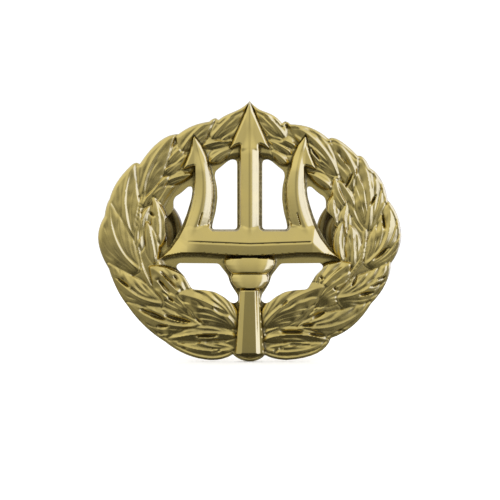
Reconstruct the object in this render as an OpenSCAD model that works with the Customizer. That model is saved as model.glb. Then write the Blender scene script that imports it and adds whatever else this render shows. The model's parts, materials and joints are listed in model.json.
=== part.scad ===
// Pierced wreath badge with an applied trident, worn on two posts with butterfly clutches.
// Units are millimetres. The origin is on the back plane, midway between the two posts.
// +X runs across the badge, +Z is up, and the badge faces -Y: the posts stand out along +Y.
// Front reliefs are drawn as (across, up) with heights above the back plane, then turned to face -Y.

/* [Plate] */
// Thickness of the pierced plate under the leaves and the trident
plate_t = 0.8; // [0.7:0.05:1.0]
// Radius of the rounded corners of the windows
window_corner_r = 0.25; // [0.1:0.05:0.3]
// Depth of the shallow seat for each post pad
pad_seat_depth = 0.4; // [0.3:0.05:0.5]

/* [Wreath] */
// Height of a leaf's edge above the back plane
leaf_edge_h = 1.4; // [1.1:0.1:1.5]
// Height of the step halfway between a leaf's edge and its midrib
leaf_mid_h = 1.8; // [1.6:0.05:1.9]
// Height of a leaf's midrib above the back plane
leaf_rib_h = 2.2; // [2.0:0.05:2.4]
// Width of a leaf's middle step as a share of the leaf's width
leaf_mid_share = 0.62; // [0.5:0.02:0.7]
// Width of a leaf's midrib step as a share of the leaf's width
leaf_rib_share = 0.25; // [0.2:0.01:0.35]

/* [Trident] */
// Height of the trident's side walls above the back plane
wall_h = 1.7; // [1.4:0.1:2.0]
// Height of the crests of the prongs above the back plane
prong_crest_h = 2.9; // [2.4:0.1:3.0]
// Height of the crest of the crossbar above the back plane
bar_crest_h = 3.1; // [2.6:0.1:3.2]
// Height of the flat front of the shaft above the back plane
shaft_front_h = 2.7; // [2.2:0.1:2.9]
// Radius of the rounded crests
crest_r = 0.12; // [0.08:0.02:0.2]

/* [Posts] */
// Distance between the axes of the two posts
post_spacing = 30.2; // [29:0.2:31]
// Radius of a post pad
pad_r = 2.5; // [2:0.1:2.8]
// Radius of the brazed root of a pin
root_r = 0.85; // [0.84:0.01:0.95]
// Height of the brazed root above the back plane
root_h = 0.5; // [0.4:0.05:0.6]
// Radius of the pin's bare stretch, between its root and the clutch
stem_r = 0.66; // [0.65:0.01:0.67]
// Height above the back plane where the bare stretch ends
stem_end = 2.1; // [1.9:0.05:2.15]
// Radius of the pin inside the clutch
pin_r = 0.47; // [0.44:0.01:0.48]
// Height of the pin's point above the back plane
pin_end = 8.6; // [8.2:0.1:9]
// Radius of the grooves that the jaws grip
groove_r = 0.4; // [0.36:0.01:0.42]

/* [Clutch] */
// Radius of the clutch disc
disc_r = 5.7; // [5.4:0.1:6]
// Height of the disc's front face above the back plane, the room left for the cloth
disc_front = 2.2; // [2.2:0.05:2.6]
// Thickness of the clutch's sheet metal
sheet_t = 0.3; // [0.25:0.01:0.32]
// Height of the disc's turned-up rim
rim_h = 0.75; // [0.6:0.05:0.9]
// Radius of the hole that the pin passes through in the disc
pin_hole_r = 0.84; // [0.84:0.01:0.95]
// Outer radius of the hub
hub_r = 2.9; // [2.8:0.05:3.1]
// Height of the hub from the disc's back face to its top
hub_h = 3.1; // [3.0:0.05:3.3]
// Width of a wing
wing_w = 3.4; // [3:0.1:3.4]
// Radius of the curl that a wing turns on
curl_r = 0.3; // [0.25:0.01:0.32]

/* [Hidden] */
$fn = 64;

LEFT = -1;
RIGHT = 1;
UP = 1;
DOWN = -1;

gold = [0.69, 0.61, 0.35];
dull_brass = [0.55, 0.50, 0.33];
solder_grey = [0.62, 0.60, 0.56];

seat_gap = 0.05;
seat_overrun = 1;
window_setback = 0.05;
groove_len = 0.5;
tip_len = 1.0;
tip_r = 0.12;

disc_back = disc_front + sheet_t;
hub_top = disc_back + hub_h;
hub_inner_r = hub_r - sheet_t;
funnel_r = 1.3;
hub_hole_r = 0.9;
bridge_hole_r = 0.95;
jaw_hole_r = 0.5;
slot_w = wing_w + 0.4;
slot_inner = 1.6;
slot_lift = 1.0;
bridge_end = 2.15;
bridge_tab_len = 0.38;

// A wing turns about this point, given as (out from the pin, above the back plane).
pivot_out = 2.45;
pivot_up = disc_back + 1.9;
// Where the wing's tip and its jaw end, measured from the pivot.
wing_tip = [2.3, 2.5];
jaw_tip = [-2.2, -1.0];
tip_curl_r = 0.35;

// Half outlines are for +X and are mirrored. The trident's outline, cut into the leaves, clears it by 0.03.
// Each leaf is [foot x, foot z, tip x, tip z, width].
plate_edge = [
    [0, 18.2], [1.4, 17.1], [4.4, 15.7], [5.0, 15.7], [7.7, 15.0], [9.9, 13.9], [12.6, 12.6], [15.2, 10.4],
    [16.2, 9.7], [18.0, 7.8], [19.2, 4.9], [20.1, 3.2], [20.9, 0.8], [21.1, -0.7], [20.7, -2.4], [19.6, -4.7],
    [18.6, -7.0], [17.3, -9.1], [15.9, -11.1], [14.0, -13.1], [12.0, -14.5], [10.9, -15.5], [9.4, -16.6],
    [7.4, -17.3], [5.4, -17.7], [3.4, -17.3], [2.2, -16.9], [1.3, -17.5], [0, -17.85]
];
prong_window = [
    [1.8, 0.55], [1.8, 9.9], [2.3, 10.35], [2.9, 10.1], [4.7, 8.8], [4.95, 8.1], [4.6, 6.0], [4.65, 3.6],
    [5.0, 1.9], [5.25, 0.8], [5.0, 0.55]
];
horn_window = [
    [7.9, 6.2], [8.4, 6.4], [9.4, 5.9], [10.6, 5.0], [10.8, 4.2], [11.0, 3.2], [11.9, 2.1], [11.8, 1.0],
    [11.6, -0.6], [11.5, -1.9], [11.2, -1.9], [9.5, 0.8], [8.7, 2.9], [8.0, 5.2]
];
low_window = [
    [10.2, -4.6], [9.9, -4.2], [4.4, -4.25], [3.8, -5.0], [3.1, -5.9], [2.7, -6.9], [2.25, -7.8], [1.7, -8.6],
    [1.65, -9.4], [2.1, -9.7], [2.7, -9.7], [3.6, -8.9], [4.9, -8.15], [6.5, -7.9], [8.1, -7.8], [8.5, -7.0],
    [9.2, -5.8], [10.1, -4.9]
];
trident_edge = [
    [-0.01, 18.45], [0, 18.45], [3.03, 11.45], [1.36, 12.0], [1.36, 0.53], [6.35, 0.53], [5.57, 3.9],
    [5.42, 6.3], [5.57, 9.0], [6.37, 11.9], [7.8, 13.85], [9.45, 8.65], [7.73, 8.95], [7.73, 6.3],
    [8.18, 3.9], [9.33, 0.7], [10.43, -1.2], [12.9, -3.88], [9.3, -2.98], [3.63, -3.25], [3.43, -4.4],
    [2.83, -5.5], [2.63, -6.5], [1.83, -7.7], [1.43, -7.75], [2.08, -16.83], [-0.01, -16.83]
];
left_leaves = [
    [-5.7, 12.6, -0.3, 17.9, 2.4], [-10.0, 10.8, -4.8, 15.7, 2.6], [-14.3, 6.4, -10.2, 13.6, 3.2],
    [-16.4, 0.4, -16.2, 9.4, 3.4], [-15.6, -5.2, -19.5, 3.7, 3.6], [-12.6, -9.6, -19.3, -3.9, 3.4],
    [-7.5, -12.6, -16.9, -9.6, 3.0], [-2.2, -13.9, -12.8, -14.0, 2.8], [-2.3, -15.8, -10.6, -15.6, 2.8],
    [-6.6, 11.0, -2.2, 12.2, 2.0], [-11.3, 8.0, -8.2, 11.4, 2.4], [-14.4, 4.4, -10.6, 7.6, 2.4],
    [-13.2, -3.2, -12.6, 4.9, 2.4], [-13.6, -5.4, -13.8, 1.5, 2.4], [-7.5, -12.1, -12.2, -4.9, 3.4],
    [-2.2, -12.3, -9.6, -8.9, 3.2]
];
right_leaves = [
    [4.6, 13.0, 0.3, 17.9, 2.4], [12.1, 8.5, 5.2, 15.3, 3.4], [15.3, 5.1, 11.2, 12.9, 3.4],
    [16.9, 1.2, 15.7, 10.2, 3.6], [16.6, -4.2, 19.0, 4.2, 3.8], [12.6, -8.8, 19.0, -4.2, 3.6],
    [7.2, -13.0, 16.6, -9.4, 3.2], [2.2, -14.4, 11.0, -14.3, 2.8], [2.3, -15.8, 10.5, -15.2, 2.8],
    [6.4, 11.0, 3.0, 12.6, 2.0], [11.6, 6.0, 8.8, 9.6, 2.4], [12.8, 1.4, 11.0, 5.6, 2.4],
    [13.6, -3.6, 13.8, 2.6, 2.6], [8.4, -12.1, 12.8, -4.6, 3.4], [2.2, -12.0, 9.6, -8.4, 3.2]
];

// Turns a relief, drawn with its height along +Z, to face -Y.
module facing_front() {
    rotate([90, 0, 0]) children();
}

// Stands a turned part, drawn along +Z, on the back plane at one of the two posts.
module on_post(side) {
    translate([side * post_spacing / 2, 0, 0]) rotate([-90, 0, 0]) children();
}

module both_halves() {
    children();
    mirror([1, 0]) children();
}

module rounded_window(points) {
    offset(r = window_corner_r, $fn = 16) offset(delta = -window_corner_r) polygon(points);
}

module windows() {
    both_halves() {
        rounded_window(prong_window);
        rounded_window(horn_window);
        rounded_window(low_window);
    }
}

// Half of the outline of a leaf of length 1: full in the middle, with a pointed tip.
function leaf_half(side) = [for (i = [1:5]) [i / 6, side * sin(180 * pow(i / 6, 0.85))]];
function reversed(list) = [for (i = [len(list) - 1:-1:0]) list[i]];

// The outline of one laurel leaf, narrowed to a share of its width and set in from its ends.
module leaf(size, share) {
    run = [size[2] - size[0], size[3] - size[1]];
    length = norm(run);
    outline = concat([[0, 0]], leaf_half(1), [[1, 0]], reversed(leaf_half(-1)));
    inset = (1 - share) / 4;
    half_w = share * size[4] / 2;
    translate([size[0], size[1]])
        rotate(atan2(run.y, run.x))
            polygon([for (p = outline) [(inset + p.x * (1 - 2 * inset)) * length, p.y * half_w]]);
}

// One level of the leaves, clear of the windows and of the trident's outline.
module leaf_level(share, height) {
    linear_extrude(height)
        offset(delta = 0.01)
            difference() {
                for (size = concat(left_leaves, right_leaves)) leaf(size, share);
                offset(delta = window_setback) windows();
                both_halves() polygon(trident_edge);
            }
}

// A convex piece of the trident: a wall round its outline, and a crest through the crest points.
module crested(outline, crest, crest_h) {
    hull() {
        translate([0, 0, plate_t])
            linear_extrude(wall_h - plate_t)
                polygon(outline);
        for (p = crest)
            translate([p.x, p.y, plate_t])
                cylinder(r = crest_r, h = crest_h - plate_t, $fn = 8);
    }
}

module side_prong() {
    crested([[5.6, 9.0], [6.4, 11.9], [7.8, 13.75], [9.4, 8.7], [7.7, 9.0]],
            [[6.7, 9.2], [7.5, 12.4]], prong_crest_h);
    crested([[5.6, 9.0], [7.7, 9.0], [7.7, 6.3], [5.45, 6.3]], [[6.7, 9.0], [6.6, 6.3]], prong_crest_h);
    crested([[5.45, 6.3], [7.7, 6.3], [8.15, 3.9], [5.6, 3.9]], [[6.6, 6.3], [6.9, 3.9]], prong_crest_h);
    crested([[5.6, 3.9], [8.15, 3.9], [9.3, 0.7], [6.4, 0.5]], [[6.9, 3.9], [7.9, 0.8]], prong_crest_h);
}

module horn() {
    crested([[6.4, 0.5], [9.3, 0.7], [10.4, -1.2], [9.3, -2.9], [8.0, -2.9]],
            [[7.9, 0.8], [8.9, -1.2]], prong_crest_h);
    crested([[10.4, -1.2], [12.8, -3.8], [9.3, -2.95]], [[9.9, -1.8], [11.9, -3.4]], prong_crest_h - 0.4);
}

module crossbar() {
    crested([[-6.4, 0.5], [6.4, 0.5], [9.3, -2.9], [0, -3.4], [-9.3, -2.9]],
            [[-8.4, -1.2], [0, -1.5], [8.4, -1.2]], bar_crest_h);
}

module socket_cups() {
    crested([[-3.6, -3.3], [3.6, -3.3], [3.4, -4.4], [2.8, -5.5], [-2.8, -5.5], [-3.4, -4.4]],
            [[-1.8, -4.2], [1.8, -4.2]], prong_crest_h);
    crested([[-2.75, -5.45], [2.75, -5.45], [2.6, -6.5], [1.8, -7.7], [-1.8, -7.7], [-2.6, -6.5]],
            [[-1.2, -6.4], [1.2, -6.4]], prong_crest_h - 0.1);
}

module shaft() {
    crested([[-1.4, -7.6], [1.4, -7.6], [2.05, -16.8], [-2.05, -16.8]],
            [[-0.6, -7.8], [0.6, -7.8], [0.9, -16.6], [-0.9, -16.6]], shaft_front_h);
}

module middle_prong() {
    crested([[-3.0, 11.5], [0, 18.4], [3.0, 11.5], [0, 12.0]], [[0, 12.2], [0, 16.2]], prong_crest_h);
    crested([[-1.33, 0.4], [-1.33, 12.1], [1.33, 12.1], [1.33, 0.4]], [[0, 0.4], [0, 12.1]], prong_crest_h);
}

module trident_relief() {
    middle_prong();
    crossbar();
    socket_cups();
    shaft();
    for (side = [0, 1])
        mirror([side, 0, 0]) {
            side_prong();
            horn();
        }
}

module wreath() {
    color(gold)
        facing_front()
            difference() {
                union() {
                    linear_extrude(plate_t)
                        difference() {
                            both_halves() polygon(plate_edge_half());
                            windows();
                        }
                    leaf_level(1, leaf_edge_h);
                    leaf_level(leaf_mid_share, leaf_mid_h);
                    leaf_level(leaf_rib_share, leaf_rib_h);
                }
                for (side = [LEFT, RIGHT])
                    translate([side * post_spacing / 2, 0, -seat_overrun])
                        cylinder(r = pad_r + seat_gap, h = pad_seat_depth + seat_overrun);
            }
}

// The plate's half outline, closed along the middle line.
function plate_edge_half() = concat([[-0.01, 18.2]], plate_edge, [[-0.01, -17.85]]);

module trident() {
    color(gold)
        facing_front()
            trident_relief();
}

module post_pad(side) {
    color(dull_brass)
        on_post(side)
            translate([0, 0, -pad_seat_depth])
                cylinder(r = pad_r, h = pad_seat_depth);
}

// A straight pin: brazed root, bare stem, gripped shank with two grooves, and a blunt point.
module post_pin(side) {
    shank_end = pin_end - tip_len;
    grip = disc_back + 0.9;
    color(dull_brass)
        on_post(side)
            rotate_extrude()
                polygon([
                    [0, 0], [root_r, 0], [root_r, root_h], [stem_r, root_h], [stem_r, stem_end],
                    [pin_r, stem_end], [pin_r, grip], [groove_r, grip + 0.1],
                    [groove_r, grip + groove_len], [pin_r, grip + groove_len + 0.1],
                    [pin_r, shank_end], [tip_r, pin_end], [0, pin_end]
                ]);
}

module solder_ring(side) {
    ring_w = 0.5;
    ring_h = 0.4;
    color(solder_grey)
        on_post(side)
            rotate_extrude()
                polygon([[root_r, 0], [root_r + ring_w, 0], [root_r, ring_h]]);
}

module clutch_disc(side) {
    color(dull_brass)
        on_post(side)
            translate([0, 0, disc_front])
                rotate_extrude()
                    polygon([
                        [funnel_r, 0], [disc_r - 0.15, 0], [disc_r, 0.15], [disc_r, rim_h],
                        [disc_r - sheet_t, rim_h], [disc_r - sheet_t, sheet_t], [pin_hole_r, sheet_t],
                        [pin_hole_r, sheet_t - 0.1]
                    ]);
}

// The hub is a cap with a hole for the pin, and a slot on each side that a wing comes out of.
module clutch_hub(side) {
    color(dull_brass)
        on_post(side)
            difference() {
                rotate_extrude()
                    polygon([
                        [hub_inner_r, disc_back], [hub_r, disc_back], [hub_r, hub_top],
                        [hub_hole_r, hub_top], [hub_hole_r, hub_top - sheet_t],
                        [hub_inner_r, hub_top - sheet_t]
                    ]);
                for (half = [0, 180])
                    rotate(half) {
                        translate([-slot_w / 2, slot_inner, disc_back + slot_lift])
                            cube([slot_w, hub_r, hub_h - sheet_t - slot_lift]);
                        translate([-slot_w / 2, bridge_end, disc_back + slot_lift])
                            cube([slot_w, hub_r, hub_h]);
                    }
            }
}

// The middle of the spring, under the hub's top, with an edge turned down towards each wing.
module spring_bridge(side) {
    top = hub_top - sheet_t;
    color(dull_brass)
        on_post(side)
            difference() {
                union() {
                    translate([-wing_w / 2, -bridge_end, top - sheet_t])
                        cube([wing_w, 2 * bridge_end, sheet_t]);
                    for (half = [0, 180])
                        rotate(half)
                            translate([-wing_w / 2, bridge_end - 0.2, top - sheet_t - bridge_tab_len])
                                cube([wing_w, 0.2, bridge_tab_len + sheet_t / 2]);
                }
                translate([0, 0, top - 2 * sheet_t])
                    cylinder(r = bridge_hole_r, h = 3 * sheet_t);
            }
}

// A strip of sheet metal between two points of a wing's section.
module strip(from, to) {
    run = to - from;
    translate(from)
        rotate(atan2(run.y, run.x))
            translate([0, -sheet_t / 2])
                square([norm(run), sheet_t]);
}

// A wing of the spring: the jaw that grips the pin, the curl it turns on, and the thumb tab.
// Its section is drawn as (out from the pin, above the back plane) and has the wing's width along X.
module wing(side, way) {
    color(dull_brass)
        translate([side * post_spacing / 2, 0, 0])
            difference() {
                mirror([0, 0, way == UP ? 0 : 1])
                    translate([-wing_w / 2, 0, 0])
                        multmatrix([[0, 0, 1, 0], [0, 1, 0, 0], [1, 0, 0, 0], [0, 0, 0, 1]])
                            linear_extrude(wing_w)
                                translate([pivot_out, pivot_up]) {
                                    circle(r = curl_r);
                                    strip([0, 0], jaw_tip);
                                    strip([0, 0], wing_tip);
                                    translate(wing_tip) circle(r = tip_curl_r);
                                }
                rotate([-90, 0, 0])
                    translate([0, 0, disc_front])
                        cylinder(r = jaw_hole_r, h = hub_h);
            }
}

wreath();
trident();
post_pad(LEFT);  // left_post_pad
post_pin(LEFT);  // left_post_pin
solder_ring(LEFT);  // left_solder_ring
clutch_disc(LEFT);  // left_clutch_disc
clutch_hub(LEFT);  // left_clutch_hub
spring_bridge(LEFT);  // left_spring_bridge
wing(LEFT, UP);  // left_upper_wing
wing(LEFT, DOWN);  // left_lower_wing
post_pad(RIGHT);  // right_post_pad
post_pin(RIGHT);  // right_post_pin
solder_ring(RIGHT);  // right_solder_ring
clutch_disc(RIGHT);  // right_clutch_disc
clutch_hub(RIGHT);  // right_clutch_hub
spring_bridge(RIGHT);  // right_spring_bridge
wing(RIGHT, UP);  // right_upper_wing
wing(RIGHT, DOWN);  // right_lower_wing
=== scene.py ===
"""Looks of a pierced wreath badge: its struck relief, the hardware on its back, metals, light and camera.

Reliefs are worked out in millimetres, as heights above the back plane over (across, up) as seen from
the front. They are turned to face -Y, in metres, when a mesh is made.
"""

import json
import math

import bmesh
import bpy
import numpy as np
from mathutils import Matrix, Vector
from mathutils.geometry import delaunay_2d_cdt


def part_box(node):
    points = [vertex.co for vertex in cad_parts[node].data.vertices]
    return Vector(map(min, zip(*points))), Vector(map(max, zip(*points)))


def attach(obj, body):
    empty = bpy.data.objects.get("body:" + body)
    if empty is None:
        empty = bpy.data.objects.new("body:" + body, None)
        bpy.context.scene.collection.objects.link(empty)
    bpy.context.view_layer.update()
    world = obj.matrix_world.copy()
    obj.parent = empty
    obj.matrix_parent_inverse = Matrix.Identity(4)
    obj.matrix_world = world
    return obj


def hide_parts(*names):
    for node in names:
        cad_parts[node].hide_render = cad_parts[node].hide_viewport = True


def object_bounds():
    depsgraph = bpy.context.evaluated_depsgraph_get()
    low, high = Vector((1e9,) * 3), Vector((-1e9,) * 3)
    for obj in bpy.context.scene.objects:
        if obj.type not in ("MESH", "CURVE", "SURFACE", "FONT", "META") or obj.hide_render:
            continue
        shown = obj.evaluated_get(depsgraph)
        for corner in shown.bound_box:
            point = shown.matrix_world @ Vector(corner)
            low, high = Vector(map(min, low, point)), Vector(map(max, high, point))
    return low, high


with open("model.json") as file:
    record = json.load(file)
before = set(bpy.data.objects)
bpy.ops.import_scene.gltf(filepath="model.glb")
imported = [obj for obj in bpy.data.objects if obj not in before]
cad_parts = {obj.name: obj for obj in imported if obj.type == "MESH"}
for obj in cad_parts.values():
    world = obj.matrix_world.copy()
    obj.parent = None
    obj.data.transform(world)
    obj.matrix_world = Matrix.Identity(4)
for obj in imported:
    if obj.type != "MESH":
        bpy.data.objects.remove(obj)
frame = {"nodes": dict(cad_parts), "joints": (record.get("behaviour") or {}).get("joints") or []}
cad_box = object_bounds()

MM = 0.001
WREATH_STEP = 0.105
TRIDENT_STEP = 0.075


def node_box(name):
    """Lowest and highest corner of a CAD node, in mm."""
    low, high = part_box(name)
    return np.array(low) / MM, np.array(high) / MM


PLATE_H = -node_box("trident")[1][1]
LEAF_TOP_H = -node_box("wreath")[0][1]
CROSSBAR_H = -node_box("trident")[0][1]
POST_X = float(sum(node_box("right_post_pin"))[0] / 2)
PAD_R = float(node_box("right_post_pad")[1][0] - POST_X)
PAD_DEPTH = -float(node_box("right_post_pad")[0][1])
SEAT_GAP = 0.05
SAME_PLACE = 1e-7
LEAST_INSIDE = 0.05
TURN_STEPS = 96

# ---------------------------------------------------------------- outlines, in mm as (across, up)

# The wreath's outer edge is a chain of leaf backs, each a curve:
# (point it is pulled towards, where it ends).
WREATH_TOP = (0.0, 18.4)
RIGHT_EDGE = [
    ((0.9, 17.3), (2.0, 16.95)), ((3.6, 16.5), (4.5, 15.3)), ((4.95, 15.9), (5.7, 15.15)),
    ((8.7, 15.2), (10.95, 13.15)), ((12.0, 13.9), (15.0, 10.8)), ((15.9, 11.0), (16.7, 9.1)),
    ((18.7, 7.9), (19.2, 4.6)), ((20.9, 2.9), (21.1, -0.3)), ((21.0, -2.4), (19.7, -4.1)),
    ((19.5, -7.2), (16.9, -9.8)), ((14.7, -13.5), (11.3, -14.6)), ((10.5, -17.3), (5.2, -17.65)),
    ((3.3, -17.6), (2.1, -16.95)), ((1.4, -17.8), (0.0, -17.85)),
]
LEFT_EDGE = [
    ((-0.8, 17.5), (-2.0, 17.0)), ((-3.8, 16.3), (-4.35, 15.75)), ((-4.8, 16.35), (-5.6, 15.55)),
    ((-8.2, 15.2), (-9.9, 13.8)), ((-12.5, 13.9), (-15.3, 9.65)), ((-15.9, 10.1), (-16.6, 9.35)),
    ((-18.9, 7.2), (-19.5, 4.75)), ((-19.95, 4.2), (-20.2, 2.4)), ((-21.2, 0.7), (-21.1, -0.9)),
    ((-20.9, -2.9), (-19.6, -4.9)), ((-18.7, -8.0), (-17.0, -10.1)), ((-14.9, -13.2), (-11.8, -15.1)),
    ((-9.0, -17.4), (-5.5, -17.65)), ((-3.6, -17.7), (-2.35, -16.85)), ((-1.4, -17.8), (0.0, -17.85)),
]
# The windows on the +X side. Those on the other side mirror them.
WINDOWS = [
    [(1.75, 0.55), (1.75, 9.6), (1.85, 10.2), (2.5, 10.35), (3.1, 10.05), (4.1, 9.2), (4.75, 8.7),
     (4.9, 8.0), (4.55, 6.4), (4.5, 4.8), (4.75, 3.0), (5.15, 1.5), (5.3, 0.55)],
    [(7.95, 6.1), (8.1, 6.55), (8.6, 6.5), (9.6, 5.6), (10.4, 5.1), (10.65, 4.5), (10.6, 3.5),
     (10.95, 2.8), (11.75, 2.1), (11.8, 1.0), (11.6, -0.6), (11.5, -2.0), (11.1, -1.9), (9.6, 0.6),
     (8.75, 2.7), (8.1, 4.9)],
    [(10.25, -4.6), (9.9, -4.15), (4.3, -4.2), (3.75, -4.95), (3.05, -5.8), (2.75, -6.9), (2.2, -7.8),
     (1.65, -8.6), (1.6, -9.4), (2.1, -9.75), (2.7, -9.6), (3.6, -8.85), (4.9, -8.15), (6.4, -7.9),
     (8.05, -7.8), (8.5, -7.0), (9.2, -5.85), (10.1, -5.0)],
]
WINDOW_CORNER_R = 0.45

WREATH_HALF_W = 21.1
WREATH_HALF_H = 18.1

# The trident's parts, as halves on the +X side that start and end on the middle line.
MIDDLE_HALF_W = 1.42
MIDDLE_TIP_Z = 18.4
HORN_EDGE = [(7.7, 7.0), (7.85, 5.3), (8.25, 3.5), (9.0, 1.3), (9.9, -0.5), (11.1, -2.15), (12.9, -3.8)]
FORK = [
    (0.0, MIDDLE_TIP_Z), (3.0, 11.5), (MIDDLE_HALF_W, 12.1), (MIDDLE_HALF_W, 1.1), (1.55, 0.65),
    (1.85, 0.5), (5.1, 0.5), (5.4, 0.72), (5.47, 1.5), (5.25, 3.1), (5.05, 4.9), (5.05, 6.6),
    (5.4, 8.5), (5.9, 10.6), (6.65, 12.3), (7.8, 13.8), (8.4, 11.2), (9.4, 8.7), (7.68, 9.15),
] + HORN_EDGE + [(11.3, -3.25), (9.3, -2.95), (7.0, -2.95), (4.0, -3.2), (0.0, -3.4)]
CUPS = [
    (0.0, -3.2), (3.3, -3.3), (3.55, -3.7), (3.45, -4.4), (3.15, -5.0), (2.75, -5.45), (2.62, -5.7),
    (2.72, -6.1), (2.6, -6.7), (2.25, -7.25), (1.75, -7.75), (0.0, -7.85),
]
SHAFT_FOOT_Z = -16.85
SHAFT = [
    (0.0, -7.6), (1.45, -7.6), (1.62, -10.5), (1.85, -14.0), (2.05, SHAFT_FOOT_Z), (0.0, SHAFT_FOOT_Z),
]

# ---------------------------------------------------------------- the trident's relief

# A fade or a rise is (where it starts, the length it takes). FADE_DEPTH sinks one body below another.
FADE_DEPTH = 2.0
BASE_H = PLATE_H + 0.35
DRAFT = 6.0
# The prongs: a rounded crest, its drop below the crossbar's ridge, even slopes and a rolled edge.
PRONG_RIDGE = 0.27
PRONG_DROP = 0.45
PRONG_SLOPE = 0.47
PRONG_EDGE = 0.09
PRONG_DIP = 0.3
MIDDLE_DIP = (10.8, 3.5)
SIDE_DIP = (8.4, 3.0)
SIDE_SPINE = [
    (8.6, -1.6), (7.8, 0.4), (7.0, 2.4), (6.5, 4.6), (6.38, 6.6), (6.52, 8.6), (6.95, 10.6), (7.65, 13.2),
]
SIDE_SPINE_W = [1.2, 1.5, 1.55, 1.4, 1.32, 1.2, 0.9, 0.2]
PRONG_CREASE = [(6.55, 2.9), (7.1, 0.9)]
CREASE_DEPTH = 0.25
# The arrowheads: nearly flat, with a bevelled edge.
MIDDLE_NOTCH_Z = 12.0
SIDE_NOTCH_Z = 9.0
HEAD_DROP = 0.62
SIDE_HEAD_DROP = 0.78
HEAD_TILT = 0.14
HEAD_RIDGE_R = 0.5
HEAD_FALL = 0.05
HEAD_BEVEL = 0.36
BEVEL_SLOPE = 0.9
HEAD_RISE = (9.2, 2.6)
SIDE_HEAD_RISE = (6.6, 2.3)
HALFWAY_X = 4.5
# The crossbar: an upper and a lower face that meet at a ridge with a fine groove along it.
RIDGE = [(-8.45, -1.2), (0.0, -1.55), (8.9, -1.25)]
UPPER_FACE_SLOPE = 0.27
LOWER_FACE_CURVE = 0.008
GROOVE_DEPTH = 0.13
GROOVE_W = 0.11
BAR_FADE = (0.4, 2.6)
UPPER_EDGE_FALL = 0.3
LOWER_EDGE_FALL = 0.38
LOWER_EDGE_W = 0.3
# The horns: they fall away past the corners, and have a bevel along their upper edge.
CORNER_X = 8.6
HORN_FALL = 0.09
HORN_BEVEL_W = [0.25, 0.4, 0.6, 0.85, 0.95, 0.38, 0.1]
HORN_BEVEL_SLOPE = 0.5
HORN_BEVEL_DROP = 0.4
HORN_TOP_Z = 7.0
LEFT_BEVEL = 0.6
RIGHT_NARROWING = 0.35
# The cups: (how far each bulges, the level of its middle).
CUP_BELLIES = [(1.25, -4.4), (1.15, -6.6)]
CUP_BASE = 0.6
CUP_FALL = 0.12
CUP_CURVE = 0.04
CUP_JOINT_Z = -5.55
# The shaft: a flat middle between two falling sides, all widening downwards.
SHAFT_TOP_Z = -7.8
SHAFT_DROP = 0.5
SHAFT_FALL = 0.2
FLAT_W = (0.68, 0.3)
EDGE_W = (1.45, 0.6)
FLAT_SHIFT = 0.12

# ---------------------------------------------------------------- the leaves

# Each leaf: foot, point its midrib bends towards, tip, half width, height at its foot and at its tip,
# strength of its side veins. Later leaves lie over earlier ones.
LEFT_LEAVES = [
    ((-5.6, 9.8), (-4.4, 11.2), (-2.3, 11.9), 0.85, 1.2, 1.4, 0.3),
    ((-6.7, 12.0), (-4.6, 12.9), (-1.9, 12.8), 0.75, 1.3, 1.5, 0.4),
    ((-4.0, 12.9), (-1.9, 14.6), (-0.5, 17.8), 0.85, 1.3, 1.6, 0.2),
    ((-5.4, 13.1), (-3.4, 15.6), (-0.3, 18.2), 1.25, 1.3, 1.7, 0.4),
    ((-12.2, 6.9), (-10.4, 7.9), (-7.9, 8.2), 0.75, 1.2, 1.4, 0.2),
    ((-12.4, 8.1), (-10.8, 9.6), (-8.6, 10.9), 0.95, 1.3, 1.5, 0.3),
    ((-11.9, 9.2), (-10.4, 11.4), (-8.2, 12.7), 0.85, 1.3, 1.5, 0.3),
    ((-9.4, 11.4), (-7.8, 14.4), (-4.8, 15.95), 1.45, 1.3, 1.7, 0.4),
    ((-14.9, 3.6), (-14.0, 6.0), (-11.2, 7.9), 1.05, 1.3, 1.6, 0.5),
    ((-12.9, -2.2), (-12.0, 1.6), (-13.4, 5.0), 0.95, 1.3, 1.6, 0.5),
    ((-14.9, 5.0), (-14.4, 10.4), (-10.3, 13.7), 1.75, 1.3, 1.8, 0.3),
    ((-15.1, -2.5), (-15.6, 1.4), (-13.9, 3.8), 0.7, 1.2, 1.5, 0.4),
    ((-13.2, -4.2), (-13.4, -1.2), (-14.3, 1.7), 0.8, 1.3, 1.7, 0.4),
    ((-15.9, -1.8), (-18.7, 4.4), (-16.0, 9.8), 1.8, 1.3, 1.8, 0.3),
    ((-7.5, -12.1), (-9.8, -7.2), (-13.9, -4.6), 1.95, 1.3, 1.8, 0.8),
    ((-15.2, -5.2), (-19.6, -2.4), (-19.5, 4.6), 1.95, 1.3, 1.8, 0.35),
    ((-2.0, -13.9), (-5.4, -12.2), (-8.0, -10.9), 0.9, 1.2, 1.5, 0.8),
    ((-12.0, -9.8), (-17.4, -9.4), (-19.7, -4.1), 1.85, 1.3, 1.8, 0.8),
    ((-1.8, -13.1), (-4.6, -9.2), (-10.0, -8.4), 1.75, 1.3, 1.8, 0.9),
    ((-6.6, -12.8), (-12.6, -13.7), (-17.2, -9.6), 1.75, 1.3, 1.8, 0.9),
    ((-1.8, -14.3), (-6.8, -13.3), (-12.0, -15.0), 0.95, 1.3, 1.7, 1.0),
    ((-1.8, -16.1), (-6.4, -17.1), (-11.4, -14.9), 1.15, 1.3, 1.7, 0.9),
]
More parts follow.
